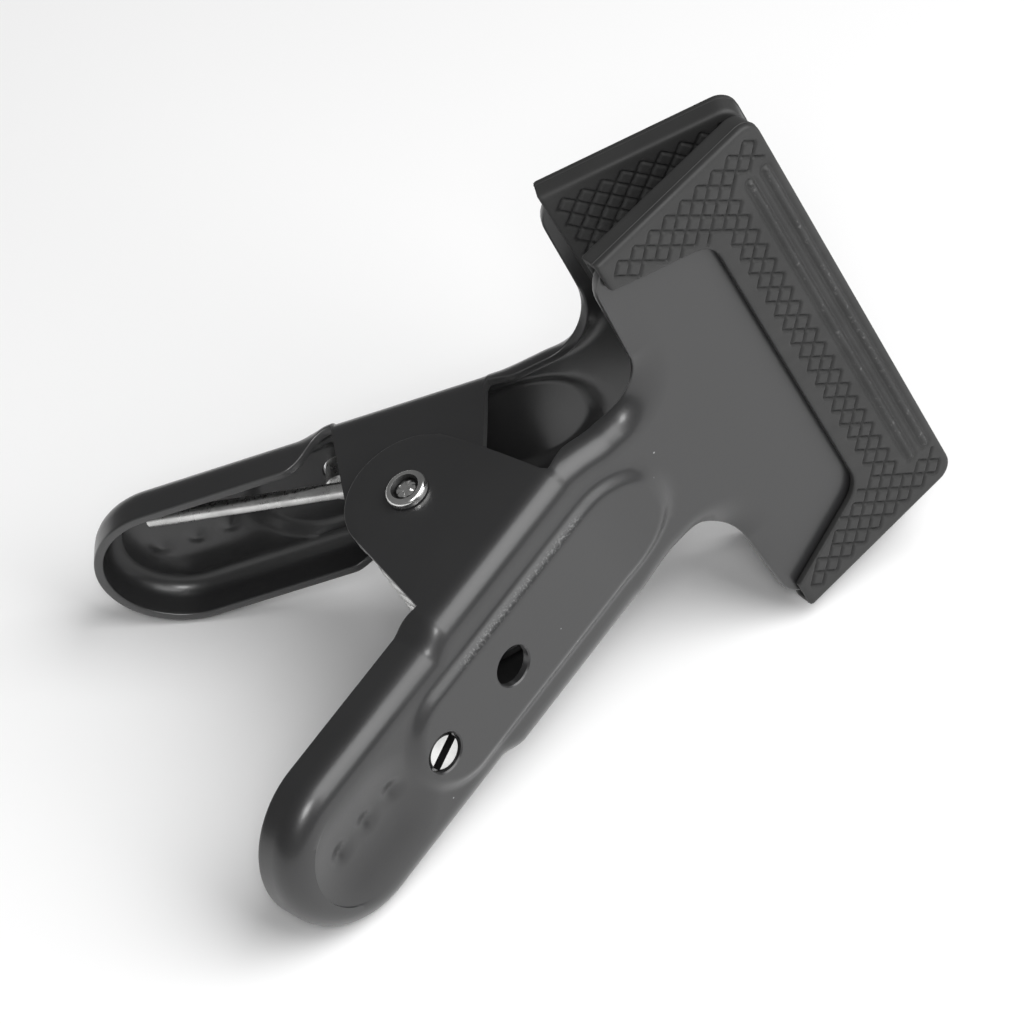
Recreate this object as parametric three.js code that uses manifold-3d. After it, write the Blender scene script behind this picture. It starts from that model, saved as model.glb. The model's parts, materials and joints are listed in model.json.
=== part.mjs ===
// Spring clamp with wide rubber-booted jaws: two stamped steel arms, a tubular rivet and a torsion spring.
// Millimetres. The clamp's own frame has its origin at the middle of the pivot rivet: x is the way the
// jaws open, y runs along the rivet and z points to the jaws. The whole clamp then lies on its side.
import * as THREE from 'three';
import { mergeVertices } from 'three/addons/utils/BufferGeometryUtils.js';
import Module from 'manifold-3d';

const wasm = await Module();
wasm.setup();

const RAD = Math.PI / 180;

// Whole clamp
const JAW_TIP = 71.8; // pivot to the line where the closed jaws meet
const HANDLE_SPLAY = 23.6 * RAD; // each handle from the mid-plane
const JAW_SPLAY = 13.3 * RAD; // each gripping face from the mid-plane
const CLEARANCE = 0.3; // between pieces that touch or turn
const FACE_GAP = 0.25; // between faces pressed together: boot and plate, rivet head and ear

// Stamped arms
const SHEET = 1.5;
const PANEL_LEVEL = 22.3; // pivot to the outer surface of a handle
const BEND_RADIUS = 4.3; // outer radius of every folded edge
const NECK_BEND_RADIUS = 45; // where the jaw plate leans away from the handle
const SPOON_LENGTH = 61; // pivot to the rounded handle end, along the handle
const SPOON_FLANGE = 7.8; // folded edge round a handle
const EAR_TIP_RADIUS = 10.8;
const EAR_HEAD_S = -12.1; // where an ear's jaw-side edge meets the folded edge
const EAR_HEAD_LEVEL = 19.2;
const NECK_HALF_WIDTH = 14.8;
const NECK_TAPER = { from: -13, length: 9 }; // where the sides draw in from the ears to the neck
const NECK_FLANGE = 4.5;
const NECK_FLANGE_RUN = 5; // along the arm, from the ear's depth to the neck's
const PLATE_HALF_WIDTH = 42;
const PLATE_TOP = 1.4; // jaw tip line to the plate's edge, down the jaw
const PLATE_BOTTOM = 34.7;
const PLATE_CORNER = 6;
const FILLET_RADIUS = 8.5; // neck to jaw plate
const PIVOT_HOLE_RADIUS = 2.7;
const SCREW_HOLE_RADIUS = 3.25;
const SCREW_CUT_LENGTH = 12; // long enough to pass through the sheet
const PIVOT_CUT_LENGTH = 60; // long enough to pass through all four ears
const ROUND_SIDES = 24;
const PLATE_HEM = 0.6; // the plate's lower edge stands this far up from the fillet's end
const FLAT_EDGE = 4; // width of the strip along an edge that has no fold
const HEM_EDGE = 1.2; // strip past a shallow fold
const FLAT_CURL = 0.03; // curvature where the neck's fold has run out on to the plate
const NO_CURL = 1e-4;

// Stations along the arm where its section is drawn
const SPOON_STATIONS = [42, 38, 34, 30, 27];
const EAR_STATIONS = [12.5, 10.4, 8, 4, 0, -4, -8, -10.2, -10.8, EAR_HEAD_S];
const NECK_STATIONS = [-14.5, -18, -22];
const NOTCH_EDGE = 1.5; // stations either side of the notch's end
const ROOT_EDGE = 1.2;
const PLATE_SIDE_V = 16; // half way up the plate's side

// Pressed relief: a raised panel with a rounded end, then a dished thumb rest with three dents
const RAISE = 1.3;
const RAISE_HALF_WIDTH = 9.1; // at half height
const RAISE_FLANK = 3;
const RAISE_HEAD_S = -13;
const RAISE_END_S = 24.5;
const DISH_DEPTH = 1.7;
const DISH_HALF_WIDTH = 6.5;
const DISH_FLANK = 5;
const DISH_START_S = 41;
const DISH_END_S = 49;
const DENT_S = [38, 44, 50];
const DENT_Y = -1.2;
const DENT_DEPTH = 0.8;
const DENT_RADIUS = 2.2;

// The two arms differ in width, so that one pair of ears turns inside the other
const OUTER_ARM = {
  ear: 16.5, spoon: 14.7, joggle: [16.5, 21.5], root: [15.7, 15.6], notchEnd: 20,
  holes: [[12, 0], [28.8, 0]],
};
const INNER_ARM = {
  ear: 14.7, spoon: 13.6, joggle: [15, 21], root: [13.9, 20], notchEnd: 23,
  holes: [[17.5, -2]],
};

// Rubber jaw boots
const BOOT_WIDTH = 87;
const BOOT_HEIGHT = 32.2;
const BOOT_FACE = 0.15; // gripping face to the closed mid-line
const BOOT_PAD = 1; // rubber between the plate and the work
const BOOT_WALL = 1.35; // rubber outside the plate
const BOOT_CORNER = 3;
const WINDOW_TOP = 15.2;
const WINDOW_HALF_WIDTH_TOP = 30.5;
const WINDOW_HALF_WIDTH_BOTTOM = 37.8;
const WINDOW_CORNER = 3.5;

// Pivot and spring
const RIVET_RADIUS = 2.4;
const RIVET_BORE = 1.4;
const RIVET_HEAD_RADIUS = 3.4;
const RIVET_HEAD = 1.25;
const TUBE_RADIUS = 4.2;
const WIRE_RADIUS = 1.3;
const COIL_RADIUS = 9.2;
const COIL_HALF_LENGTH = 7.6;
const COIL_TURNS = 5;
const LEG_TILT = 10.9 * RAD; // each leg leans from its handle's line towards the handle's floor
const LEG_LENGTH = 51.5;
const LEG_STEP = 0.6; // the inner leg lies outside its coil end, to pass the next turn as the jaws open

// Slotted screws
const SCREW_RADIUS = 2.95;
const SCREW_LENGTH = 5;
const SCREW_RECESS = 0.35;
const SLOT_WIDTH = 1.1;
const SLOT_DEPTH = 1.3;
const SLOT_TURN = 18.5 * RAD;

const PLATE_LEVEL = BOOT_FACE + BOOT_PAD + FACE_GAP + SHEET; // gripping plane to the plate's outer face
const BOOT_OUTER = PLATE_LEVEL + FACE_GAP + BOOT_WALL;

// ---------------------------------------------------------------- arm centre line

const HANDLE = { along: [Math.sin(HANDLE_SPLAY), -Math.cos(HANDLE_SPLAY)] };
const JAW = { along: [Math.sin(JAW_SPLAY), -Math.cos(JAW_SPLAY)] };
HANDLE.out = [Math.cos(HANDLE_SPLAY), Math.sin(HANDLE_SPLAY)];
JAW.out = [Math.cos(JAW_SPLAY), Math.sin(JAW_SPLAY)];
const TURN = HANDLE_SPLAY - JAW_SPLAY;
const JAW_OFFSET = JAW_TIP * Math.sin(JAW_SPLAY) + PLATE_LEVEL;
const KNEE_S = (JAW_OFFSET - PANEL_LEVEL * Math.cos(TURN)) / Math.sin(TURN);
const BEND_START_S = KNEE_S + NECK_BEND_RADIUS * Math.tan(TURN / 2);
const BEND_END_S = BEND_START_S - NECK_BEND_RADIUS * TURN;

// The outer surface's place and its outward direction in the xz plane, at s along the arm from the pivot
function centreLine(s) {
  if (s >= BEND_START_S) {
    const x = PANEL_LEVEL * HANDLE.out[0] + s * HANDLE.along[0];
    const z = PANEL_LEVEL * HANDLE.out[1] + s * HANDLE.along[1];
    return { x, z, out: HANDLE.out };
  }
  const start = centreLine(BEND_START_S);
  const angle = HANDLE_SPLAY - (BEND_START_S - Math.max(s, BEND_END_S)) / NECK_BEND_RADIUS;
  const beyond = Math.max(0, BEND_END_S - s);
  const bendX = NECK_BEND_RADIUS * (Math.cos(angle) - Math.cos(HANDLE_SPLAY));
  const bendZ = NECK_BEND_RADIUS * (Math.sin(HANDLE_SPLAY) - Math.sin(angle));
  const x = start.x - bendX - beyond * Math.sin(angle);
  const z = start.z + bendZ + beyond * Math.cos(angle);
  return { x, z, out: [Math.cos(angle), Math.sin(angle)] };
}

const bendEnd = centreLine(BEND_END_S);
const BEND_END_V = bendEnd.x * JAW.along[0] + (bendEnd.z - JAW_TIP) * JAW.along[1];
const jawS = (v) => v - BEND_END_V + BEND_END_S; // v is measured down the jaw from its tip

function place(s, y, level) {
  const at = centreLine(s);
  return new THREE.Vector3(at.x + at.out[0] * level, y, at.z + at.out[1] * level);
}

// ---------------------------------------------------------------- arm outline and relief

const smooth = (x) => {
  const t = Math.min(1, Math.max(0, x));
  return t * t * (3 - 2 * t);
};
const mix = (a, b, t) => a + (b - a) * t;

// How far the folded edge reaches inwards at s, from the outer surface
function flangeDepth(arm, s) {
  const [rootS, rootLevel] = arm.root;
  if (s >= rootS) {
    return mix(PANEL_LEVEL - rootLevel, SPOON_FLANGE, smooth((s - rootS) / (arm.notchEnd - rootS)));
  }
  if (s <= EAR_HEAD_S) {
    const t = smooth((EAR_HEAD_S - s) / NECK_FLANGE_RUN);
    return mix(PANEL_LEVEL - EAR_HEAD_LEVEL, NECK_FLANGE, t);
  }
  const edgeLevel = (edgeS, level) => {
    const reach = Math.hypot(edgeS, level);
    const towards = Math.atan2(level, Math.abs(edgeS));
    const touch = towards - Math.acos(EAR_TIP_RADIUS / reach);
    const touchS = EAR_TIP_RADIUS * Math.cos(touch);
    const touchLevel = EAR_TIP_RADIUS * Math.sin(touch);
    if (Math.abs(s) > touchS) {
      return mix(touchLevel, level, (Math.abs(s) - touchS) / (Math.abs(edgeS) - touchS));
    }
    return -Math.sqrt(Math.max(0, EAR_TIP_RADIUS ** 2 - s * s));
  };
  return PANEL_LEVEL - (s > 0 ? edgeLevel(rootS, rootLevel) : edgeLevel(EAR_HEAD_S, EAR_HEAD_LEVEL));
}

// Stations round half of the arm's outline, from the handle's end to the jaw plate's top edge
function outline(arm) {
  const stations = [];
  const add = (y, s, outY, outS, depth, curl) => stations.push({ y, s, outY, outS, depth, curl });
  const fold = 1 / BEND_RADIUS;
  const endS = SPOON_LENGTH - arm.spoon;
  for (let i = 0; i < 7; i++) {
    const a = (i / 7) * Math.PI / 2;
    const [outY, outS] = [Math.sin(a), Math.cos(a)];
    add(arm.spoon * outY, endS + arm.spoon * outS, outY, outS, SPOON_FLANGE, fold);
  }
  const notch = [arm.notchEnd + NOTCH_EDGE, arm.notchEnd - NOTCH_EDGE, arm.root[0] + ROOT_EDGE, arm.root[0]];
  const along = [endS, ...SPOON_STATIONS, ...notch, ...EAR_STATIONS, ...NECK_STATIONS];
  const filletS = jawS(PLATE_BOTTOM) + FILLET_RADIUS;
  for (const s of along) {
    const joggle = smooth((arm.joggle[1] - s) / (arm.joggle[1] - arm.joggle[0]));
    const neck = smooth((NECK_TAPER.from - s) / NECK_TAPER.length);
    const y = mix(mix(arm.spoon, arm.ear, joggle), NECK_HALF_WIDTH, neck);
    add(y, s, 1, 0, flangeDepth(arm, s), fold);
  }
  for (let i = 1; i <= 5; i++) {
    const a = (i / 5) * Math.PI / 2;
    const y = NECK_HALF_WIDTH + FILLET_RADIUS * (1 - Math.cos(a));
    const s = filletS - FILLET_RADIUS * Math.sin(a);
    add(y, s, Math.cos(a), Math.sin(a), mix(NECK_FLANGE, 0, i / 5), mix(fold, FLAT_CURL, i / 5));
  }
  const cornerY = PLATE_HALF_WIDTH - PLATE_CORNER;
  const bottomS = jawS(PLATE_BOTTOM) - PLATE_HEM;
  add(cornerY, bottomS, 0, 1, 0, 0);
  for (let i = 1; i <= 3; i++) {
    const a = (i / 3) * Math.PI / 2;
    const y = cornerY + PLATE_CORNER * Math.sin(a);
    const s = bottomS - PLATE_CORNER * (1 - Math.cos(a));
    add(y, s, Math.sin(a), Math.cos(a), 0, 0);
  }
  add(PLATE_HALF_WIDTH, jawS(PLATE_SIDE_V), 1, 0, 0, 0);
  add(PLATE_HALF_WIDTH, jawS(PLATE_TOP), 1, 0, 0, 0);
  return stations;
}

// Sheet measured from the fold line outwards: where it lies and which way it faces
function foldedEdge(station, fraction) {
  const curl = Math.max(station.curl, NO_CURL);
  const quarter = Math.PI / 2 / curl;
  const folded = station.depth + BEND_RADIUS * (Math.PI / 2 - 1);
  const hasFold = station.curl > 1 / BEND_RADIUS - 1e-6;
  const length = hasFold ? folded : Math.max(FLAT_EDGE, station.depth + HEM_EDGE);
  const arc = Math.min(length * 0.8, quarter);
  const e = fraction <= 1 ? arc * fraction : mix(arc, length, fraction - 1);
  const angle = Math.min(e * curl, Math.PI / 2);
  const past = Math.max(0, e - quarter);
  return { out: Math.sin(angle) / curl, drop: (1 - Math.cos(angle)) / curl + past, angle };
}

// Height of the pressed relief above the plain sheet
function relief(y, s) {
  const past = Math.max(0, s - RAISE_END_S, (RAISE_HEAD_S - s) * 0.8);
  const fromPanel = Math.hypot(y, past);
  const raised = RAISE * smooth((RAISE_HALF_WIDTH + RAISE_FLANK / 2 - fromPanel) / RAISE_FLANK);
  const dishPast = Math.max(0, s - DISH_END_S, DISH_START_S - s);
  const fromDish = Math.hypot(y, dishPast);
  const dish = DISH_DEPTH * smooth((DISH_HALF_WIDTH + DISH_FLANK / 2 - fromDish) / DISH_FLANK);
  let dents = 0;
  for (const dentS of DENT_S) {
    dents += DENT_DEPTH * smooth(1 - Math.hypot(y - DENT_Y, s - dentS) / DENT_RADIUS);
  }
  return raised - dish - dents;
}

// ---------------------------------------------------------------- solids

function asSolid(geometry) {
  const plain = geometry.clone();
  for (const name of Object.keys(plain.attributes)) {
    if (name !== 'position') plain.deleteAttribute(name);
  }
  const merged = mergeVertices(plain, 1e-4);
  const vertProperties = Float32Array.from(merged.attributes.position.array);
  const triVerts = [];
  const index = merged.index.array;
  for (let i = 0; i < index.length; i += 3) {
    const [a, b, c] = [index[i], index[i + 1], index[i + 2]];
    if (a !== b && b !== c && c !== a) triVerts.push(a, b, c);
  }
  const mesh = new wasm.Mesh({ numProp: 3, vertProperties, triVerts: Uint32Array.from(triVerts) });
  return new wasm.Manifold(mesh);
}

function asGeometry(solid) {
  const mesh = solid.getMesh();
  const geometry = new THREE.BufferGeometry();
  const positions = Float32Array.from(mesh.vertProperties);
  geometry.setAttribute('position', new THREE.BufferAttribute(positions, 3));
  geometry.setIndex(new THREE.BufferAttribute(Uint32Array.from(mesh.triVerts), 1));
  geometry.computeVertexNormals();
  return geometry;
}

function mirrored(geometry) {
  const copy = geometry.clone();
  copy.scale(-1, 1, 1);
  const index = copy.index.array;
  for (let i = 0; i < index.length; i += 3) {
    [index[i], index[i + 1]] = [index[i + 1], index[i]];
  }
  return copy;
}

// A cylinder across the arm's sheet at (s, y), square to the handle
function crossCut(radius, length, s, y, level) {
  const cylinder = new THREE.CylinderGeometry(radius, radius, length, ROUND_SIDES);
  cylinder.rotateZ(-Math.PI / 2);
  cylinder.rotateY(-HANDLE_SPLAY);
  const at = place(s, y, level);
  return cylinder.translate(at.x, at.y, at.z);
}

function armSolid(arm) {
  const stations = outline(arm);
  const edge = [2, 1, 0.67, 0.33, 0];
  const columns = [-0.82, -0.62, -0.5, -0.3, 0, 0.3, 0.5, 0.62, 0.82];
  const rows = stations.map((station) => {
    const reach = foldedEdge(station, 2).out;
    const foldY = station.y - reach * station.outY;
    const foldS = station.s - reach * station.outS;
    const edgePoint = (side, fraction, depth) => {
      const { out, drop, angle } = foldedEdge(station, fraction);
      const reachOut = out - depth * Math.sin(angle);
      const y = side * (foldY + reachOut * station.outY);
      return place(foldS + reachOut * station.outS, y, -drop - depth * Math.cos(angle));
    };
    const layer = (depth) => {
      const left = edge.map((fraction) => edgePoint(-1, fraction, depth));
      const right = edge.map((fraction) => edgePoint(1, fraction, depth)).reverse();
      const middle = columns.map((share) => {
        const y = foldY * share;
        return place(foldS, y, relief(y, foldS) - depth);
      });
      return [...left, ...middle, ...right];
    };
    return { outer: layer(0), inner: layer(SHEET) };
  });
  const points = [];
  const quad = (a, b, c, d) => {
    for (const p of [a, b, c, a, c, d]) points.push(p.x, p.y, p.z);
  };
  const last = rows[0].outer.length - 1;
  for (let i = 0; i + 1 < rows.length; i++) {
    const [row, next] = [rows[i], rows[i + 1]];
    for (let j = 0; j < last; j++) {
      quad(row.outer[j], row.outer[j + 1], next.outer[j + 1], next.outer[j]);
      quad(row.inner[j + 1], row.inner[j], next.inner[j], next.inner[j + 1]);
    }
    quad(row.outer[0], next.outer[0], next.inner[0], row.inner[0]);
    quad(next.outer[last], row.outer[last], row.inner[last], next.inner[last]);
  }
  const top = rows[rows.length - 1];
  for (let j = 0; j < last; j++) {
    quad(top.outer[j], top.outer[j + 1], top.inner[j + 1], top.inner[j]);
  }
  const geometry = new THREE.BufferGeometry();
  geometry.setAttribute('position', new THREE.Float32BufferAttribute(points, 3));
  let solid = asSolid(geometry);
  for (const [s, y] of arm.holes) {
    solid = solid.subtract(asSolid(crossCut(SCREW_HOLE_RADIUS, SCREW_CUT_LENGTH, s, y, 0)));
  }
  const radius = PIVOT_HOLE_RADIUS;
  const pivot = new THREE.CylinderGeometry(radius, radius, PIVOT_CUT_LENGTH, ROUND_SIDES);
  return solid.subtract(asSolid(pivot));
}

// Boot shapes are drawn with x down the jaw and y along the rivet, then stood outwards from the grip face
function onJaw(geometry) {
  const down = new THREE.Vector3(JAW.along[0], 0, JAW.along[1]);
  const out = new THREE.Vector3(JAW.out[0], 0, JAW.out[1]);
  const basis = new THREE.Matrix4().makeBasis(down, new THREE.Vector3(0, 1, 0), out);
  return geometry.applyMatrix4(basis.setPosition(0, 0, JAW_TIP));
}

function slab(shape, from, to) {
  const options = { depth: to - from, bevelEnabled: false, curveSegments: 6 };
  const geometry = new THREE.ExtrudeGeometry(shape, options);
  return asSolid(onJaw(geometry.translate(0, 0, from)));
}

function bootSolid() {
  const half = BOOT_WIDTH / 2;
  const body = new THREE.Shape();
  body.moveTo(BOOT_HEIGHT, -half);
  body.lineTo(BOOT_HEIGHT, half);
  body.lineTo(BOOT_CORNER, half);
  body.absarc(BOOT_CORNER, half - BOOT_CORNER, BOOT_CORNER, Math.PI / 2, Math.PI, false);
  body.absarc(BOOT_CORNER, BOOT_CORNER - half, BOOT_CORNER, Math.PI, Math.PI * 1.5, false);
  body.closePath();

  const beyond = BOOT_HEIGHT + 2;
  const pocketHalf = PLATE_HALF_WIDTH + CLEARANCE;
  const pocket = new THREE.Shape();
  pocket.moveTo(PLATE_TOP - CLEARANCE, -pocketHalf);
  pocket.lineTo(beyond, -pocketHalf);
  pocket.lineTo(beyond, pocketHalf);
  pocket.lineTo(PLATE_TOP - CLEARANCE, pocketHalf);
  pocket.closePath();

  const flare = (WINDOW_HALF_WIDTH_BOTTOM - WINDOW_HALF_WIDTH_TOP) / (BOOT_HEIGHT - WINDOW_TOP);
  const widest = WINDOW_HALF_WIDTH_TOP + flare * (beyond - WINDOW_TOP);
  const shoulder = WINDOW_HALF_WIDTH_TOP + flare * WINDOW_CORNER;
  const window = new THREE.Shape();
  window.moveTo(beyond, -widest);
  window.lineTo(beyond, widest);
  window.lineTo(WINDOW_TOP + WINDOW_CORNER, shoulder);
  const cornerY = WINDOW_HALF_WIDTH_TOP - WINDOW_CORNER;
  window.quadraticCurveTo(WINDOW_TOP, WINDOW_HALF_WIDTH_TOP, WINDOW_TOP, cornerY);
  window.lineTo(WINDOW_TOP, -cornerY);
  window.quadraticCurveTo(WINDOW_TOP, -WINDOW_HALF_WIDTH_TOP, WINDOW_TOP + WINDOW_CORNER, -shoulder);
  window.closePath();

  const pocketFrom = BOOT_FACE + BOOT_PAD;
  const pocketTo = BOOT_OUTER - BOOT_WALL;
  return slab(body, BOOT_FACE, BOOT_OUTER)
    .subtract(slab(pocket, pocketFrom, pocketTo))
    .subtract(slab(window, pocketTo - 0.2, BOOT_OUTER + 1));
}

function turned(profile) {
  const points = profile.map(([radius, y]) => new THREE.Vector2(radius, y));
  return asGeometry(asSolid(new THREE.LatheGeometry(points, ROUND_SIDES)));
}

function rivetGeometry() {
  const shoulder = OUTER_ARM.ear + FACE_GAP;
  const end = shoulder + RIVET_HEAD;
  const profile = [
    [RIVET_BORE, -end], [RIVET_HEAD_RADIUS - 0.5, -end], [RIVET_HEAD_RADIUS, -end + 0.5],
    [RIVET_HEAD_RADIUS, -shoulder], [RIVET_RADIUS, -shoulder], [RIVET_RADIUS, shoulder],
    [RIVET_HEAD_RADIUS, shoulder], [RIVET_HEAD_RADIUS, end - 0.5], [RIVET_HEAD_RADIUS - 0.5, end],
    [RIVET_BORE, end], [RIVET_BORE, -end],
  ];
  return turned(profile);
}

function tubeGeometry() {
  const half = INNER_ARM.ear - SHEET - CLEARANCE;
  const bore = RIVET_RADIUS + CLEARANCE;
  return turned([[bore, -half], [TUBE_RADIUS, -half], [TUBE_RADIUS, half], [bore, half], [bore, -half]]);
}

class WirePath extends THREE.Curve {
  constructor(pointAt) {
    super();
    this.pointAt = pointAt;
  }

  getPoint(t, target = new THREE.Vector3()) {
    return target.copy(this.pointAt(t));
  }
}

function wire(pointAt, steps) {
  const section = new THREE.Shape();
  section.absarc(0, 0, WIRE_RADIUS, 0, Math.PI * 2, false);
  const path = new WirePath(pointAt);
  const options = { steps, extrudePath: path, bevelEnabled: false, curveSegments: 4 };
  return asGeometry(asSolid(new THREE.ExtrudeGeometry(section, options)));
}

// A point of the coil: angle is turned about the rivet from +x towards +z
function onCoil(angle, y) {
  return new THREE.Vector3(COIL_RADIUS * Math.cos(angle), y, COIL_RADIUS * Math.sin(angle));
}

// The outer arm's leg leaves the coil at its last turn; the inner arm's leg starts at its first turn
const OUTER_LEG_ANGLE = HANDLE_SPLAY + LEG_TILT;
const INNER_LEG_ANGLE = Math.PI - OUTER_LEG_ANGLE;

function legPoint(angle, side, y, distance) {
  const foot = onCoil(angle, y);
  const direction = new THREE.Vector3(Math.sin(OUTER_LEG_ANGLE) * side, 0, -Math.cos(OUTER_LEG_ANGLE));
  return foot.addScaledVector(direction, distance);
}

function coilGeometry() {
  const sweep = COIL_TURNS * 2 * Math.PI + (INNER_LEG_ANGLE - OUTER_LEG_ANGLE);
  const arc = sweep * COIL_RADIUS;
  const total = arc + LEG_LENGTH;
  const pointAt = (t) => {
    const run = t * total;
    if (run > arc) return legPoint(OUTER_LEG_ANGLE, 1, COIL_HALF_LENGTH, run - arc);
    const angle = INNER_LEG_ANGLE - sweep * run / arc;
    return onCoil(angle, COIL_HALF_LENGTH * (2 * run / arc - 1));
  };
  return wire(pointAt, 100);
}

function legGeometry() {
  const pointAt = (t) => {
    const distance = CLEARANCE + t * (LEG_LENGTH - CLEARANCE);
    return legPoint(INNER_LEG_ANGLE, -1, -COIL_HALF_LENGTH - LEG_STEP, distance);
  };
  return wire(pointAt, 6);
}

function screwSolid(s, y) {
  const top = RAISE - SCREW_RECESS;
  const body = asSolid(crossCut(SCREW_RADIUS, SCREW_LENGTH, s, y, top - SCREW_LENGTH / 2));
  const slot = new THREE.BoxGeometry(SLOT_DEPTH * 2, SLOT_WIDTH, SCREW_RADIUS * 3);
  slot.rotateX(SLOT_TURN);
  slot.rotateY(-HANDLE_SPLAY);
  const at = place(s, y, top);
  return body.subtract(asSolid(slot.translate(at.x, at.y, at.z)));
}

// ---------------------------------------------------------------- assembly

const clamp = new THREE.Group();

function addPiece(name, geometry, color, roughness, metalness) {
  const mesh = new THREE.Mesh(geometry, new THREE.MeshStandardMaterial({ color, roughness, metalness }));
  mesh.name = name;
  clamp.add(mesh);
}

const PAINT = [0x2a2a2b, 0.42, 0.1];
const RUBBER = [0x262626, 0.72, 0];
const STEEL = [0xc9c9c6, 0.3, 1];

addPiece('outer_arm', asGeometry(armSolid(OUTER_ARM)), ...PAINT);
addPiece('inner_arm', mirrored(asGeometry(armSolid(INNER_ARM))), ...PAINT);
const boot = asGeometry(bootSolid());
addPiece('outer_jaw_boot', boot, ...RUBBER);
addPiece('inner_jaw_boot', mirrored(boot), ...RUBBER);
addPiece('pivot_rivet', rivetGeometry(), ...STEEL);
addPiece('pivot_spacer_tube', tubeGeometry(), ...STEEL);
addPiece('spring_coil', coilGeometry(), ...STEEL);
addPiece('spring_leg', legGeometry(), ...STEEL);
const [, outerScrew] = OUTER_ARM.holes;
const [innerScrew] = INNER_ARM.holes;
addPiece('outer_slotted_screw', asGeometry(screwSolid(...outerScrew)), ...STEEL);
addPiece('inner_slotted_screw', mirrored(asGeometry(screwSolid(...innerScrew))), ...STEEL);

// Laid on its side: the boots' far edges and the handles' far edges touch the table
const bootFoot = { y: BOOT_WIDTH / 2, z: JAW_TIP - BOOT_HEIGHT * Math.cos(JAW_SPLAY) };
const spoonEndS = SPOON_LENGTH - OUTER_ARM.spoon;
const spoonFoot = { y: OUTER_ARM.spoon, z: PANEL_LEVEL * HANDLE.out[1] + spoonEndS * HANDLE.along[1] };
const LEAN = Math.atan2(bootFoot.y - spoonFoot.y, bootFoot.z - spoonFoot.z);
clamp.rotation.x = LEAN - Math.PI / 2;

const model = new THREE.Group();
model.add(clamp);
model.updateMatrixWorld(true);
const box = new THREE.Box3().setFromObject(model, true);
const centre = box.getCenter(new THREE.Vector3());
clamp.position.set(-centre.x, -centre.y, -box.min.z);

export default model;
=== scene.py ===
"""Visual model of a wide-jaw spring clamp: pressed steel arms, rubber jaw boots, rivet, spring, screws.

Shapes are worked out in millimetres in the clamp's own frame, whose origin is the middle of the rivet:
x is the way the jaws open, y runs along the rivet and z points to the jaws. The frame's joint says where
that lies in the row frame, in metres.
"""
import json
import math

import bmesh
import bpy
import numpy as np
from mathutils import Matrix, Vector


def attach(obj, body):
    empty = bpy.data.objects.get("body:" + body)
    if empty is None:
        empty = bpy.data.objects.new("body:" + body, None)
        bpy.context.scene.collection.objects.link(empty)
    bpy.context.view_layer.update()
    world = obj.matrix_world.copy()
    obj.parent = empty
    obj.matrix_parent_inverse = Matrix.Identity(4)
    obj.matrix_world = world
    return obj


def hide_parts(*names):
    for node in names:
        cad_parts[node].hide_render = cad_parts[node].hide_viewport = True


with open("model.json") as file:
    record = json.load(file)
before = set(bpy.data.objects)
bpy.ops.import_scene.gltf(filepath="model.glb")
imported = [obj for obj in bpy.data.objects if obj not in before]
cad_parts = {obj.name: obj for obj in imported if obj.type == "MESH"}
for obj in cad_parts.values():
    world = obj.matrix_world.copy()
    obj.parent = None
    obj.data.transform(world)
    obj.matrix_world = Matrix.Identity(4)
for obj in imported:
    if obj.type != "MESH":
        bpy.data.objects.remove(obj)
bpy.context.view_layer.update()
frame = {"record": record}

MM = 0.001
OUTER, INNER = "outer_side", "inner_side"

# ------------------------------------------------------------------ dimensions, in millimetres

JAW_TIP = 71.8
HANDLE_SPLAY = math.radians(23.6)
JAW_SPLAY = math.radians(13.3)
CLEARANCE = 0.3
FACE_GAP = 0.25

SHEET = 1.5
CUT_EDGE_ROUND = 0.3
PANEL_LEVEL = 22.3
BEND_RADIUS = 4.3
NECK_BEND_RADIUS = 45
SPOON_LENGTH = 61
SPOON_FLANGE = 7.8
EAR_TIP_RADIUS = 10.8
EAR_HEAD_S = -12.1
EAR_HEAD_LEVEL = 19.2
NECK_HALF_WIDTH = 14.8
NECK_TAPER_FROM = -13
NECK_TAPER_LENGTH = 9
NECK_FLANGE = 4.5
NECK_FLANGE_RUN = 5
PLATE_HALF_WIDTH = 42
PLATE_TOP = 1.4
PLATE_BOTTOM = 34.7
PLATE_CORNER = 6
PLATE_HEM = 0.6
FILLET_RADIUS = 8.5
FLAT_EDGE = 5.9
FLAT_CURL = 0.03
NO_CURL = 1e-4
PIVOT_HOLE_RADIUS = 2.7
SCREW_HOLE_RADIUS = 3.25
HOLE_CHAMFER = 0.22
ROW_STEP = 0.5
FINE_ROWS = (23.5, 13)
FINE_ROW_STEP = 0.12
SPOON_STATIONS = 28
FILLET_STATIONS = 20
PLATE_STATIONS = 26
CORNER_STATIONS = 10
SIDE_STATIONS = 16
PANEL_COLUMNS = 63
EDGE_STEPS = 9

RAISE = 1.3
RAISE_HALF_WIDTH = 9.1
RAISE_FLANK = 3
RAISE_HEAD_S = -13
RAISE_HEAD_STRETCH = 0.8
RAISE_END_S = 24.5
DISH_DEPTH = 1.7
DISH_HALF_WIDTH = 5.8
DISH_FLANK = 9
DISH_START_S = 41
DISH_END_S = 49
DENT_S = (38, 44, 50)
DENT_Y = -1.2
DENT_DEPTH = 0.8
DENT_RADIUS = 2.5
DENT_POINT = 1.5

SCUFF_S = (-12, 20)
SCUFF_Y = -8.6
SCUFF_HALF_WIDTH = 0.8
SCUFF_FADE = 3

OUTER_ARM = dict(ear=16.5, spoon=14.7, joggle=(16.5, 21.5), root=(15.7, 15.6), notch_end=20,
                 holes=((12, 0), (28.8, 0)))
INNER_ARM = dict(ear=14.7, spoon=13.6, joggle=(15, 21), root=(13.9, 20), notch_end=23,
                 holes=((17.5, -2),))

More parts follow.
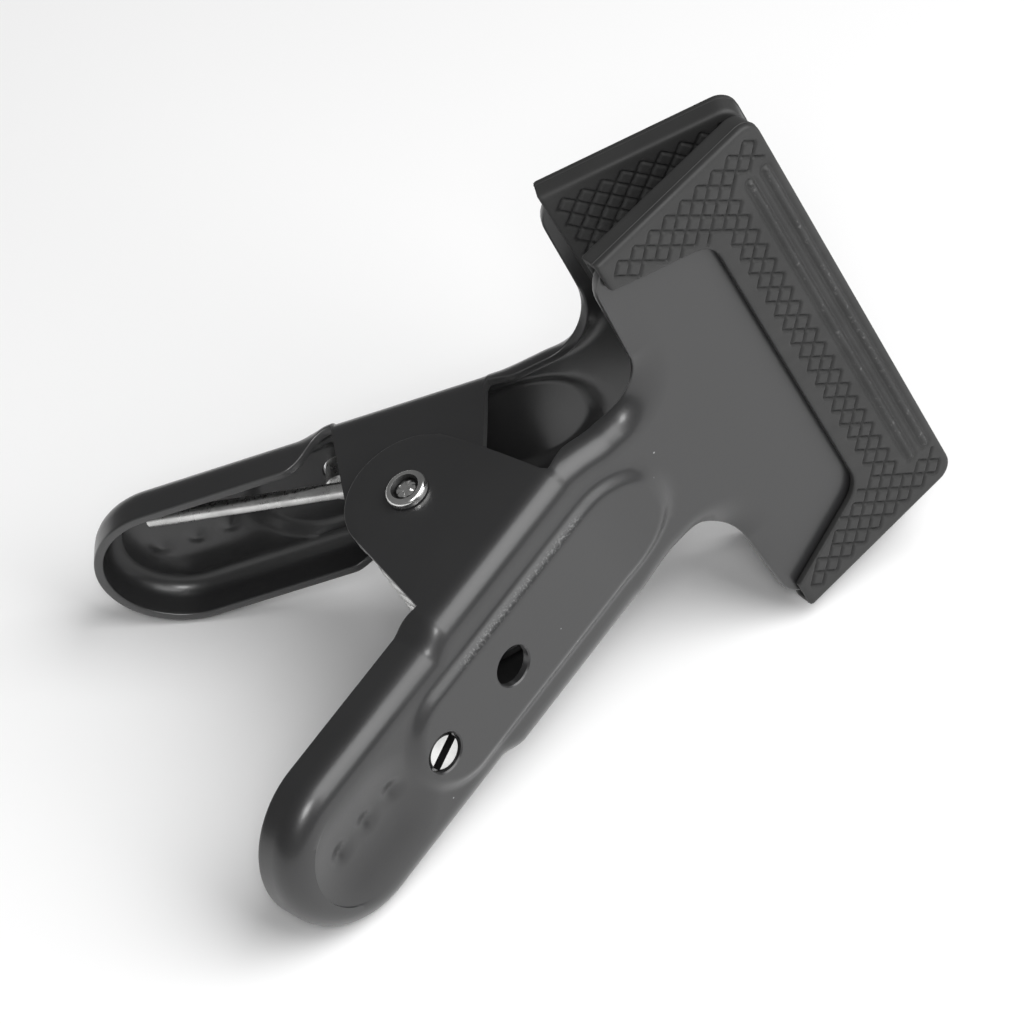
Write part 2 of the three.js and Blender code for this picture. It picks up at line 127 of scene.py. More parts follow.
BOOT_WIDTH = 87
BOOT_HEIGHT = 32.2
BOOT_FACE = 0.15
BOOT_PAD = 1
BOOT_WALL = 1.35
BOOT_CORNER = 3
BOOT_ROUND = 0.7
BOOT_VOXEL = 0.24
PARTING_DROP = 1.3
PARTING_RADIUS = 0.11
PARTING_STEP = 1.5
WINDOW_TOP = 15.2
WINDOW_HALF_WIDTH_TOP = 30.5
WINDOW_HALF_WIDTH_BOTTOM = 37.8
WINDOW_CORNER = 3.5
RIB_V = (2.4, 5.5)
RIB_HALF_LENGTH = 34
RIB_WIDTH = 1.25
RIB_HEIGHT = 0.5
RIB_GUTTER = 0.22
RIB_STEEPNESS = 1.5
GUTTER_PLACE = 0.75
GUTTER_WIDTH = 0.35
TREAD_PITCH_Y = 3.45
TREAD_PITCH_V = TREAD_PITCH_Y * math.tan(math.radians(43))
TREAD_GROOVE = 0.55
TREAD_DEPTH = 0.4
TREAD_BAND = (7.8, 13.4)
TREAD_EDGE_Y = 41.3
TREAD_SIDE_V = (1.8, 30.5)
TREAD_SIDE_Y = 36
TREAD_SIDE_FROM_Y = 31.3
TREAD_MARGIN = 1.5
TREAD_WINDOW_GAP = 0.8
FACE_BAND = 0.15
FACE_BLEND = 0.1

RIVET_RADIUS = 2.4
RIVET_HEAD_RADIUS = 3.4
RIVET_HEAD = 1.25
RIVET_LIP = 0.75
RIVET_CRIMP = ((2.3, 0.05), (2.1, 0.3), (1.95, 0.8), (1.6, 0.75), (1.1, 0.5), (0.7, 0.6), (0.35, 0.5),
               (0, 0.55))
# Radii of the rivet crimp's wall ring that is given painted shade.
RIVET_PAINTED_SHADE = (1.75, 2.2)
CRUMPLE_RADIUS = 1.9
CRUMPLE_WAVES = ((0.14, 3, 4), (0.09, 7, -5))
TUBE_RADIUS = 4.2
WIRE_RADIUS = 1.3
WIRE_END_SCALE = 0.78
WIRE_END_ROUND = 0.25
COIL_RADIUS = 9.2
COIL_HALF_LENGTH = 7.6
COIL_TURNS = 5
COIL_STATIONS = 360
LEG_STATIONS = 30
LEG_TILT = math.radians(10.9)
LEG_LENGTH = 51.5
LEG_STEP = 0.6
SCREW_RADIUS = 2.95
SCREW_LENGTH = 5
SCREW_RECESS = 0.35
SCREW_CHAMFER = 0.25
SLOT_WIDTH = 1.7
SLOT_DEPTH = 1.3
SLOT_TURN = math.radians(18.5)

PLATE_LEVEL = BOOT_FACE + BOOT_PAD + FACE_GAP + SHEET
BOOT_OUTER = PLATE_LEVEL + FACE_GAP + BOOT_WALL

# ------------------------------------------------------------------ clamp frame to row frame

joint = frame["record"]["behaviour"]["joints"][0]
ALONG_X = Vector((1, 0, 0))
ALONG_Y = -Vector(joint["axis"]).normalized()
ALONG_Z = ALONG_X.cross(ALONG_Y)
PIVOT = Vector(joint["pos_m"])
TURN_TO_ROW = Matrix((ALONG_X, ALONG_Y, ALONG_Z)).transposed()


def to_row(points):
    """Clamp-frame millimetres to row-frame metres, for an array of points."""
    return np.asarray(points) * MM @ np.array(TURN_TO_ROW).T + np.array(PIVOT)


def smooth(x):
    t = np.clip(x, 0, 1)
    return t * t * (3 - 2 * t)


def mix(a, b, t):
    return a + (b - a) * t


# ------------------------------------------------------------------ meshes


def mesh_piece(name, points, faces, mirror=False):
    """An object from clamp-frame points. mirror makes the inner side's copy of an outer-side shape."""
    points = np.array(points, float)
    if mirror:
        points[:, 0] *= -1
        faces = [tuple(reversed(f)) for f in faces]
    mesh = bpy.data.meshes.new(name)
    mesh.from_pydata(to_row(points).tolist(), [], faces)
    mesh.validate()
    piece = bpy.data.objects.new(name, mesh)
    bpy.context.collection.objects.link(piece)
    return piece


def apply_modifiers(piece):
    graph = bpy.context.evaluated_depsgraph_get()
    mesh = bpy.data.meshes.new_from_object(piece.evaluated_get(graph))
    piece.modifiers.clear()
    piece.data = mesh


def cut(piece, cutters):
    """Takes the cutters away from piece."""
    for cutter in cutters:
        tool = piece.modifiers.new("cut", "BOOLEAN")
        tool.operation = "DIFFERENCE"
        tool.solver = "EXACT"
        tool.object = cutter
        apply_modifiers(piece)
        bpy.data.objects.remove(cutter)


def weld(piece, distance):
    """Joins points closer than distance, in metres, and turns the faces outwards."""
    made = bmesh.new()
    made.from_mesh(piece.data)
    bmesh.ops.remove_doubles(made, verts=made.verts, dist=distance)
    bmesh.ops.dissolve_degenerate(made, edges=made.edges, dist=distance)
    bmesh.ops.recalc_face_normals(made, faces=made.faces)
    made.to_mesh(piece.data)
    made.free()


def shade(piece, sharp_degrees=38):
    piece.data.shade_smooth()
    piece.data.set_sharp_from_angle(angle=math.radians(sharp_degrees))


def lathe(name, profile, axis, centre, segments=96, mirror=False, shape=None):
    """Turns a closed (radius, height) profile about axis through centre, both in the clamp frame."""
    axis = np.array(axis, float) / np.linalg.norm(axis)
    helper = np.array((0, 1, 0)) if abs(axis[1]) < 0.9 else np.array((1, 0, 0))
    across = np.cross(helper, axis)
    across /= np.linalg.norm(across)
    other = np.cross(axis, across)
    points, faces = [], []
    count = len(profile)
    for i in range(segments):
        turn = 2 * math.pi * i / segments
        for radius, height in profile:
            lift = shape(radius, height, turn) if shape else 0
            around = radius * (math.cos(turn) * across + math.sin(turn) * other)
            points.append(np.array(centre) + around + (height + lift) * axis)
        following = (i + 1) % segments
        for j in range(count):
            k = (j + 1) % count
            faces.append((i * count + j, i * count + k, following * count + k, following * count + j))
    piece = mesh_piece(name, points, faces, mirror)
    weld(piece, 1e-7)
    return piece


# ------------------------------------------------------------------ arms

HANDLE_ALONG = np.array((math.sin(HANDLE_SPLAY), -math.cos(HANDLE_SPLAY)))
HANDLE_OUT = np.array((math.cos(HANDLE_SPLAY), math.sin(HANDLE_SPLAY)))
JAW_ALONG = np.array((math.sin(JAW_SPLAY), -math.cos(JAW_SPLAY)))
JAW_OUT = np.array((math.cos(JAW_SPLAY), math.sin(JAW_SPLAY)))
TURN = HANDLE_SPLAY - JAW_SPLAY
KNEE_S = (JAW_TIP * math.sin(JAW_SPLAY) + PLATE_LEVEL - PANEL_LEVEL * math.cos(TURN)) / math.sin(TURN)
BEND_START_S = KNEE_S + NECK_BEND_RADIUS * math.tan(TURN / 2)
BEND_END_S = BEND_START_S - NECK_BEND_RADIUS * TURN


def centre_line(s):
    """Place (x, z) of the arm's outer surface at s along it from the pivot, and its outward direction."""
    if s >= BEND_START_S:
        return PANEL_LEVEL * HANDLE_OUT + s * HANDLE_ALONG, HANDLE_OUT
    start, _ = centre_line(BEND_START_S)
    angle = HANDLE_SPLAY - (BEND_START_S - max(s, BEND_END_S)) / NECK_BEND_RADIUS
    beyond = max(0, BEND_END_S - s)
    x = -NECK_BEND_RADIUS * (math.cos(angle) - math.cos(HANDLE_SPLAY)) - beyond * math.sin(angle)
    z = NECK_BEND_RADIUS * (math.sin(HANDLE_SPLAY) - math.sin(angle)) + beyond * math.cos(angle)
    return start + np.array((x, z)), np.array((math.cos(angle), math.sin(angle)))


BEND_END, _ = centre_line(BEND_END_S)
BEND_END_V = float((BEND_END - np.array((0, JAW_TIP))) @ JAW_ALONG)


def jaw_s(v):
    """v is measured down the jaw from its tip."""
    return v - BEND_END_V + BEND_END_S


def place(s, y, level):
    at, out = centre_line(s)
    return at[0] + out[0] * level, y, at[1] + out[1] * level


def ear_edge_level(s, edge_s, level):
    """Level of an ear's edge: straight from the folded edge to the round tip, then round it."""
    reach = math.hypot(edge_s, level)
    touch = math.atan2(level, abs(edge_s)) - math.acos(EAR_TIP_RADIUS / reach)
    touch_s = EAR_TIP_RADIUS * math.cos(touch)
    touch_level = EAR_TIP_RADIUS * math.sin(touch)
    if abs(s) > touch_s:
        return mix(touch_level, level, (abs(s) - touch_s) / (abs(edge_s) - touch_s))
    return -math.sqrt(max(0, EAR_TIP_RADIUS ** 2 - s * s))


def flange_depth(arm, s):
    root_s, root_level = arm["root"]
    if s >= root_s:
        run = smooth((s - root_s) / (arm["notch_end"] - root_s))
        return mix(PANEL_LEVEL - root_level, SPOON_FLANGE, run)
    if s <= EAR_HEAD_S:
        run = smooth((EAR_HEAD_S - s) / NECK_FLANGE_RUN)
        return mix(PANEL_LEVEL - EAR_HEAD_LEVEL, NECK_FLANGE, run)
    edge = (root_s, root_level) if s > 0 else (EAR_HEAD_S, EAR_HEAD_LEVEL)
    return PANEL_LEVEL - ear_edge_level(s, *edge)


def relief(y, s):
    """Height of the pressed relief above the plain sheet."""
    past = max(0, s - RAISE_END_S, (RAISE_HEAD_S - s) * RAISE_HEAD_STRETCH)
    raised = RAISE * smooth((RAISE_HALF_WIDTH + RAISE_FLANK / 2 - np.hypot(y, past)) / RAISE_FLANK)
    dish_past = max(0, s - DISH_END_S, DISH_START_S - s)
    dish = DISH_DEPTH * smooth((DISH_HALF_WIDTH + DISH_FLANK / 2 - np.hypot(y, dish_past)) / DISH_FLANK)
    dents = 0
    for at in DENT_S:
        nearness = np.clip(1 - np.hypot(y - DENT_Y, s - at) / DENT_RADIUS, 0, 1)
        dents = dents + DENT_DEPTH * nearness ** DENT_POINT
    return raised - dish - dents


def scuffed(y, s):
    """How far the paint is rubbed, on one flank of the raised panel."""
    ends = smooth((s - SCUFF_S[0]) / SCUFF_FADE) * smooth((SCUFF_S[1] - s) / SCUFF_FADE)
    return smooth(1 - np.abs(y - SCUFF_Y) / SCUFF_HALF_WIDTH) * ends


def outline(arm):
    """Stations round half of an arm, handle end to jaw tip: (y, s, out_y, out_s, edge length, curl)."""
    fold = 1 / BEND_RADIUS
    rolled = BEND_RADIUS * (math.pi / 2 - 1)
    stations = []
    end_s = SPOON_LENGTH - arm["spoon"]
    for a in np.linspace(0, math.pi / 2, SPOON_STATIONS, endpoint=False):
        y, s = math.sin(a), math.cos(a)
        stations.append((arm["spoon"] * y, end_s + arm["spoon"] * s, y, s, SPOON_FLANGE + rolled, fold))
    fillet_s = jaw_s(PLATE_BOTTOM) + FILLET_RADIUS
    fine_from, fine_to = FINE_ROWS
    runs = (np.arange(end_s, fine_from, -ROW_STEP), np.arange(fine_from, fine_to, -FINE_ROW_STEP),
            np.arange(fine_to, fillet_s, -ROW_STEP))
    for s in np.concatenate(runs):
        joggle = smooth((arm["joggle"][1] - s) / (arm["joggle"][1] - arm["joggle"][0]))
        neck = smooth((NECK_TAPER_FROM - s) / NECK_TAPER_LENGTH)
        y = mix(mix(arm["spoon"], arm["ear"], joggle), NECK_HALF_WIDTH, neck)
        stations.append((y, s, 1, 0, flange_depth(arm, s) + rolled, fold))
    for t in np.linspace(0.05, 1, FILLET_STATIONS):
        a = t * math.pi / 2
        y = NECK_HALF_WIDTH + FILLET_RADIUS * (1 - math.cos(a))
        s = fillet_s - FILLET_RADIUS * math.sin(a)
        length = mix(NECK_FLANGE + rolled, FLAT_EDGE, t)
        stations.append((y, s, math.cos(a), math.sin(a), length, mix(fold, FLAT_CURL, t)))
    corner_y = PLATE_HALF_WIDTH - PLATE_CORNER
    bottom_s = jaw_s(PLATE_BOTTOM) - PLATE_HEM
    fillet_y = NECK_HALF_WIDTH + FILLET_RADIUS
    for t in np.linspace(0, 1, PLATE_STATIONS)[1:-1]:
        y = mix(fillet_y, corner_y, t)
        s = mix(jaw_s(PLATE_BOTTOM), bottom_s, t)
        stations.append((y, s, 0, 1, FLAT_EDGE, mix(FLAT_CURL, NO_CURL, smooth(t))))
    for a in np.linspace(0, math.pi / 2, CORNER_STATIONS):
        y = corner_y + PLATE_CORNER * math.sin(a)
        s = bottom_s - PLATE_CORNER * (1 - math.cos(a))
        stations.append((y, s, math.sin(a), math.cos(a), FLAT_EDGE, NO_CURL))
    for s in np.linspace(bottom_s - PLATE_CORNER, jaw_s(PLATE_TOP), SIDE_STATIONS)[1:]:
        stations.append((PLATE_HALF_WIDTH, s, 1, 0, FLAT_EDGE, NO_CURL))
    return stations


def arm_piece(name, arm, mirror):
    """The pressed arm as one closed sheet with rounded cut edges and its holes cut."""
    shares = np.linspace(-1, 1, PANEL_COLUMNS)[1:-1]
    quarter_turn = np.radians((30, 60, 90))
    rows, rims, scuffs = [], [], []
    for y, s, out_y, out_s, length, curl in outline(arm):
        quarter = math.pi / 2 / curl
        bend_end = min(length * 0.8, quarter)
        flat_end = length - CUT_EDGE_ROUND
        steps = [*np.linspace(0, bend_end, EDGE_STEPS), *np.linspace(bend_end, flat_end, EDGE_STEPS)[1:]]
        rounding = [(flat_end + CUT_EDGE_ROUND * math.sin(q), CUT_EDGE_ROUND * (1 - math.cos(q)))
                    for q in quarter_turn]
        edge = [(e, 0, 0) for e in steps] + [(e, d, 1) for e, d in rounding]
        edge += [(e, SHEET - d, 1) for e, d in reversed(rounding)] + [(e, SHEET, 0) for e in reversed(steps)]
        full = min(length * curl, math.pi / 2)
        reach = math.sin(full) / curl
        fold_y, fold_s = y - reach * out_y, s - reach * out_s

        def edge_point(side, e, depth):
            angle = min(e * curl, math.pi / 2)
            out = math.sin(angle) / curl - depth * math.sin(angle)
            drop = (1 - math.cos(angle)) / curl + max(0, e - quarter) + depth * math.cos(angle)
            return place(fold_s + out * out_s, side * (fold_y + out * out_y), -drop)

        def middle(depth):
            across = fold_y * shares
            lift = relief(across, fold_s)
            return [place(fold_s, y_at, up - depth) for y_at, up in zip(across, lift)]

        right = [edge_point(1, e, d) for e, d, _ in edge]
        left = [edge_point(-1, e, d) for e, d, _ in reversed(edge)]
        rows.append(middle(0) + right + middle(SHEET)[::-1] + left)
        plain = [0] * len(shares)
        rims.append(plain + [r for *_, r in edge] + plain + [r for *_, r in reversed(edge)])
        rubbed = scuffed(fold_y * shares, fold_s).tolist()
        scuffs.append(rubbed + [0] * len(edge) + plain + [0] * len(edge))
    count = len(rows[0])
    faces = []
    for i in range(len(rows) - 1):
        for j in range(count):
            k = (j + 1) % count
            a, b = i * count, (i + 1) * count
            faces.append((a + j, a + k, b + k, b + j))
    faces.append(tuple(range((len(rows) - 1) * count, len(rows) * count)))
    piece = mesh_piece(name, [p for row in rows for p in row], faces, mirror)
    worn = piece.data.attributes.new("cut_edge", "FLOAT", "POINT")
    worn.data.foreach_set("value", np.array(rims, np.float32).ravel())
    scuff = piece.data.attributes.new("scuff", "FLOAT", "POINT")
    scuff.data.foreach_set("value", np.array(scuffs, np.float32).ravel())
    weld(piece, 1e-6)
    cut(piece, [hole_cutter(s, y, mirror) for s, y in arm["holes"]] + [pivot_cutter(mirror)])
    shade(piece)
    return piece


def hole_cutter(s, y, mirror):
    """A round cutter through the sheet, flared where it leaves each face."""
    flare, beyond = HOLE_CHAMFER, 3
    top, under = RAISE, RAISE - SHEET
    wide = SCREW_HOLE_RADIUS + flare + beyond
    profile = [(0, top + beyond), (wide, top + beyond), (SCREW_HOLE_RADIUS, top - flare),
               (SCREW_HOLE_RADIUS, under + flare), (wide, under - beyond), (0, under - beyond)]
    return lathe("hole_cutter", profile, (HANDLE_OUT[0], 0, HANDLE_OUT[1]), place(s, y, 0), 64, mirror)


def pivot_cutter(mirror):
    reach = 30
    profile = [(0, -reach), (PIVOT_HOLE_RADIUS, -reach), (PIVOT_HOLE_RADIUS, reach), (0, reach)]
    return lathe("pivot_cutter", profile, (0, 1, 0), (0, 0, 0), 64, mirror)


# ------------------------------------------------------------------ rubber boots


def window_half_width(v):
    flare = (WINDOW_HALF_WIDTH_BOTTOM - WINDOW_HALF_WIDTH_TOP) / (BOOT_HEIGHT - WINDOW_TOP)
    return WINDOW_HALF_WIDTH_TOP + flare * (v - WINDOW_TOP)


def flat_slab(name, corners, low, high, rounded=0):
    """A slab over a (v, y) outline, in the boot's own flat frame, in millimetres."""
    made = bmesh.new()
    base = made.faces.new([made.verts.new((v, y, low)) for v, y in corners])
    grown = bmesh.ops.extrude_face_region(made, geom=[base])
    moved = [g for g in grown["geom"] if isinstance(g, bmesh.types.BMVert)]
    bmesh.ops.translate(made, verts=moved, vec=(0, 0, high - low))
    bmesh.ops.recalc_face_normals(made, faces=made.faces)
    if rounded:
        flat = [e for e in made.edges if abs(e.verts[0].co.z - e.verts[1].co.z) < 1e-6]
        bmesh.ops.bevel(made, geom=flat, offset=rounded, segments=4, profile=0.5, affect="EDGES")
    mesh = bpy.data.meshes.new(name)
    made.to_mesh(mesh)
    made.free()
    piece = bpy.data.objects.new(name, mesh)
    bpy.context.collection.objects.link(piece)
    return piece


def arc(centre_v, centre_y, radius, start, end, steps=8):
    angles = np.linspace(start, end, steps)
    return [(centre_v + radius * math.cos(a), centre_y + radius * math.sin(a)) for a in angles]


def boot_outline():
    half = BOOT_WIDTH / 2
    corner = half - BOOT_CORNER
    far = arc(BOOT_CORNER, corner, BOOT_CORNER, math.pi / 2, math.pi)
    near = arc(BOOT_CORNER, -corner, BOOT_CORNER, math.pi, math.pi * 1.5)
    return [(BOOT_HEIGHT, -half), (BOOT_HEIGHT, half), *far, *near]


def window_outline():
    beyond = BOOT_HEIGHT + 2
    side_v = WINDOW_TOP + WINDOW_CORNER
    shoulder = window_half_width(side_v)
    half = []
    for t in np.linspace(0, 1, 8):
        v = (1 - t) ** 2 * side_v + 2 * t * (1 - t) * WINDOW_TOP + t * t * WINDOW_TOP
        y = (1 - t) ** 2 * shoulder + 2 * t * (1 - t) * WINDOW_HALF_WIDTH_TOP
        half.append((v, y + t * t * (WINDOW_HALF_WIDTH_TOP - WINDOW_CORNER)))
    half.insert(0, (beyond, window_half_width(beyond)))
    return half + [(v, -y) for v, y in reversed(half)]


def in_tread(y, v, gripping):
    """Whether a groove's middle lies where the tread is cut."""
    if gripping:
        return (np.abs(y) < TREAD_EDGE_Y) & (v > TREAD_MARGIN) & (v < BOOT_HEIGHT - TREAD_MARGIN)
    across = np.abs(y)
    band = (v > TREAD_BAND[0]) & (v < TREAD_BAND[1]) & (across < TREAD_EDGE_Y)
    inside = np.maximum(window_half_width(v) + TREAD_WINDOW_GAP, TREAD_SIDE_FROM_Y)
    side = (across > inside) & (across < TREAD_EDGE_Y) & (v > TREAD_BAND[0]) & (v < TREAD_SIDE_V[1])
    top = (across > TREAD_SIDE_Y) & (across < TREAD_EDGE_Y) & (v > TREAD_SIDE_V[0]) & (v < TREAD_BAND[1])
    return band | side | top


def tread_depth(y, v, gripping):
    """Depth of the diamond grooves. A groove runs between crossings, so its ends are stepped."""
    p = y / TREAD_PITCH_Y + v / TREAD_PITCH_V
    q = y / TREAD_PITCH_Y - v / TREAD_PITCH_V
    spacing = TREAD_PITCH_Y * math.sin(math.atan2(TREAD_PITCH_V, TREAD_PITCH_Y))
    depth = np.zeros_like(y)
    for line, along, sign in ((p, q, 1), (q, p, -1)):
        near = np.round(line)
        away = np.abs(line - near) * spacing
        middle = np.floor(along) + 0.5
        mid_y = TREAD_PITCH_Y * (near + middle) / 2
        mid_v = TREAD_PITCH_V * sign * (near - middle) / 2
        groove = TREAD_DEPTH * smooth(1 - away / (TREAD_GROOVE / 2 + BOOT_VOXEL / 2))
        depth = np.maximum(depth, np.where(in_tread(mid_y, mid_v, gripping), groove, 0))
    return depth


def rib_height(y, v):
    """Two long ribs, each in a shallow gutter."""
    past = np.maximum(0, np.abs(y) - RIB_HALF_LENGTH)
    height = 0
    for at in RIB_V:
        away = np.hypot(v - at, past)
        rib = smooth(RIB_STEEPNESS * (1 - away / (RIB_WIDTH / 2)))
        gutter = smooth(1 - np.abs(away - RIB_WIDTH * GUTTER_PLACE) / (RIB_WIDTH * GUTTER_WIDTH))
        height = height + RIB_HEIGHT * rib - RIB_GUTTER * gutter
    return height


def boot_piece(name, mirror):
    pocket_from, pocket_to = BOOT_FACE + BOOT_PAD, BOOT_OUTER - BOOT_WALL
    beyond = BOOT_HEIGHT + 2
    pocket_y, pocket_v = PLATE_HALF_WIDTH + CLEARANCE, PLATE_TOP - CLEARANCE
    pocket = [(pocket_v, -pocket_y), (beyond, -pocket_y), (beyond, pocket_y), (pocket_v, pocket_y)]
    piece = flat_slab(name, boot_outline(), BOOT_FACE, BOOT_OUTER, BOOT_ROUND)
    cut(piece, [flat_slab("pocket", pocket, pocket_from, pocket_to),
                flat_slab("window", window_outline(), pocket_to - 0.2, BOOT_OUTER + 1)])
    remesh = piece.modifiers.new("even", "REMESH")
    remesh.mode = "VOXEL"
    remesh.voxel_size = BOOT_VOXEL
    soften = piece.modifiers.new("soften", "SMOOTH")
    soften.factor, soften.iterations = 0.5, 2
    apply_modifiers(piece)
    mesh = piece.data
    co = np.zeros(len(mesh.vertices) * 3)
    mesh.vertices.foreach_get("co", co)
    co = co.reshape(-1, 3)
    v, y, level = co.T
    outside = smooth((level - (BOOT_OUTER - FACE_BAND)) / FACE_BLEND)
    gripping = smooth((BOOT_FACE + FACE_BAND - level) / FACE_BLEND)
    groove = tread_depth(y, v, False)
    grip_groove = tread_depth(y, v, True)
    # The groove attribute carries the groove depth, which the rubber darkens as painted shade.
    grooved = mesh.attributes.new("groove", "FLOAT", "POINT")
    grooved.data.foreach_set("value", (outside * groove + gripping * grip_groove) / TREAD_DEPTH)
    raised = mesh.attributes.new("rib", "FLOAT", "POINT")
    raised.data.foreach_set("value", np.maximum(0, outside * rib_height(y, v)) / RIB_HEIGHT)
    level = level + outside * (rib_height(y, v) - groove) + gripping * grip_groove
    along = np.array((JAW_ALONG[0], 0, JAW_ALONG[1]))
    out = np.array((JAW_OUT[0], 0, JAW_OUT[1]))
    placed = np.outer(v, along) + np.outer(y, (0, 1, 0)) + np.outer(level, out) + (0, 0, JAW_TIP)
    if mirror:
        placed[:, 0] *= -1
    mesh.vertices.foreach_set("co", to_row(placed).ravel())
    face_outwards(mesh)
    shade(piece, 60)
    return piece


def parting_bead(name, mirror):
    """The thin line of flash that the mould leaves round a boot's edge."""
    outline_points = boot_outline()[1:] + [boot_outline()[0]]
    level, radius, sides = BOOT_OUTER - PARTING_DROP, PARTING_RADIUS, 8
    centre = np.array([(v, y, level) for v, y in outline_points])
    path = []
    for a, b in zip(centre[:-1], centre[1:]):
        steps = max(1, int(np.linalg.norm(b - a) / PARTING_STEP))
        path += [mix(a, b, i / steps) for i in range(steps)]
    path = np.array([*path, centre[-1]])
    tangent = np.gradient(path, axis=0)
    tangent /= np.linalg.norm(tangent, axis=1)[:, None]
    side = np.cross(tangent, (0, 0, 1))
    points, faces = [], []
    for at, across in zip(path, side):
        for k in range(sides):
            turn = 2 * math.pi * k / sides
            ring = radius * (math.cos(turn) * across + math.sin(turn) * np.array((0, 0, 1)))
            v, y, out = at + ring
            x = v * JAW_ALONG[0] + out * JAW_OUT[0]
            points.append((x, y, JAW_TIP + v * JAW_ALONG[1] + out * JAW_OUT[1]))
    for i in range(len(path) - 1):
        for k in range(sides):
            n = (k + 1) % sides
            faces.append((i * sides + k, i * sides + n, (i + 1) * sides + n, (i + 1) * sides + k))
    faces.append(tuple(reversed(range(sides))))
    faces.append(tuple(range((len(path) - 1) * sides, len(path) * sides)))
    piece = mesh_piece(name, points, faces, mirror)
    weld(piece, 1e-8)
    shade(piece, 60)
    return piece


def face_outwards(mesh):
    made = bmesh.new()
    made.from_mesh(mesh)
    bmesh.ops.recalc_face_normals(made, faces=made.faces)
    made.to_mesh(mesh)
    made.free()


# ------------------------------------------------------------------ rivet, tube, spring and screws


def paint_recess_shade(piece, inside):
    """Gives the faces whose middle is inside a recess the dark second material, as painted shade."""
    piece.data.materials.clear()
    piece.data.materials.append(None)
    piece.data.materials.append(painted_shade_metal)
    to_clamp = np.array(TURN_TO_ROW)
    for face in piece.data.polygons:
        middle = (np.array(face.center) - np.array(PIVOT)) @ to_clamp / MM
        face.material_index = 1 if inside(middle) else 0


def rivet_piece():
    """The tubular rivet. Its ends are rolled over in a bright ring round a crumpled, crimped middle."""
    shoulder = OUTER_ARM["ear"] + FACE_GAP
    end = shoulder + RIVET_HEAD
    lip = [(RIVET_HEAD_RADIUS - RIVET_LIP + RIVET_LIP * math.cos(a),
            end - RIVET_LIP + RIVET_LIP * math.sin(a)) for a in np.linspace(0, math.pi / 2, 9)]
    crimp = [(radius, end - depth) for radius, depth in RIVET_CRIMP]
    half = [(RIVET_RADIUS, shoulder), (RIVET_HEAD_RADIUS, shoulder), *lip, *crimp]
    profile = [(r, -h) for r, h in reversed(half)] + half

    def crumple(radius, height, turn):
        if radius > CRUMPLE_RADIUS or radius == 0 or abs(height) < shoulder:
            return 0
        folds = sum(rise * math.sin(waves * turn + twist * radius) for rise, waves, twist in CRUMPLE_WAVES)
        return math.copysign(folds * min(1, radius), height)

    piece = lathe("rivet", profile, (0, 1, 0), (0, 0, 0), 96, shape=crumple)
    # Painted shade: the crimp's recessed wall ring between these radii gets the dark material.
    inner, outer = RIVET_PAINTED_SHADE
    paint_recess_shade(piece, lambda p: inner < math.hypot(p[0], p[2]) < outer and abs(p[1]) > shoulder)
    shade(piece, 50)
    return piece


def tube_piece():
    half = INNER_ARM["ear"] - SHEET - CLEARANCE
    bore, edge = RIVET_RADIUS + CLEARANCE, 0.25
    profile = [(bore, -half), (TUBE_RADIUS - edge, -half), (TUBE_RADIUS, edge - half),
               (TUBE_RADIUS, half - edge), (TUBE_RADIUS - edge, half), (bore, half)]
    piece = lathe("spacer_tube", profile, (0, 1, 0), (0, 0, 0))
    shade(piece)
    return piece


def on_coil(angle, y):
    return np.array((COIL_RADIUS * math.cos(angle), y, COIL_RADIUS * math.sin(angle)))


OUTER_LEG_ANGLE = HANDLE_SPLAY + LEG_TILT
INNER_LEG_ANGLE = math.pi - OUTER_LEG_ANGLE


def leg_point(angle, side, y, distance):
    direction = np.array((math.sin(OUTER_LEG_ANGLE) * side, 0, -math.cos(OUTER_LEG_ANGLE)))
    return on_coil(angle, y) + direction * distance


def wire_piece(name, path, sides=20):
    """A round wire along path, with its cut ends slightly rounded."""
    path = np.array(path)
    tangents = np.gradient(path, axis=0)
    tangents /= np.linalg.norm(tangents, axis=1)[:, None]
    points, faces = [], []
    last = len(path) - 1
    rings = [(0, WIRE_END_SCALE, 0), (0, 1, WIRE_END_ROUND)]
    rings += [(i, 1, 0) for i in range(1, last)]
    rings += [(last, 1, -WIRE_END_ROUND), (last, WIRE_END_SCALE, 0)]
    for i, scale, inset in rings:
        tangent = tangents[i]
        across = np.cross((0, 1, 0), tangent)
        across /= np.linalg.norm(across)
        up = np.cross(tangent, across)
        for k in range(sides):
            turn = 2 * math.pi * k / sides
            ring = WIRE_RADIUS * scale * (math.cos(turn) * across + math.sin(turn) * up)
            points.append(path[i] + inset * tangent + ring)
    for i in range(len(rings) - 1):
        for k in range(sides):
            n = (k + 1) % sides
            faces.append((i * sides + k, i * sides + n, (i + 1) * sides + n, (i + 1) * sides + k))
    faces.append(tuple(reversed(range(sides))))
    faces.append(tuple(range((len(rings) - 1) * sides, len(rings) * sides)))
    piece = mesh_piece(name, points, faces)
    weld(piece, 1e-7)
    shade(piece)
    return piece


def coil_path():
    sweep = COIL_TURNS * 2 * math.pi + INNER_LEG_ANGLE - OUTER_LEG_ANGLE
    turns = [on_coil(INNER_LEG_ANGLE - sweep * t, COIL_HALF_LENGTH * (2 * t - 1))
             for t in np.linspace(0, 1, COIL_STATIONS)]
    distances = np.linspace(0, LEG_LENGTH, LEG_STATIONS)[1:]
    leg = [leg_point(OUTER_LEG_ANGLE, 1, COIL_HALF_LENGTH, d) for d in distances]
    return turns + leg


def leg_path():
    distances = np.linspace(CLEARANCE, LEG_LENGTH, LEG_STATIONS)
    return [leg_point(INNER_LEG_ANGLE, -1, -COIL_HALF_LENGTH - LEG_STEP, d) for d in distances]


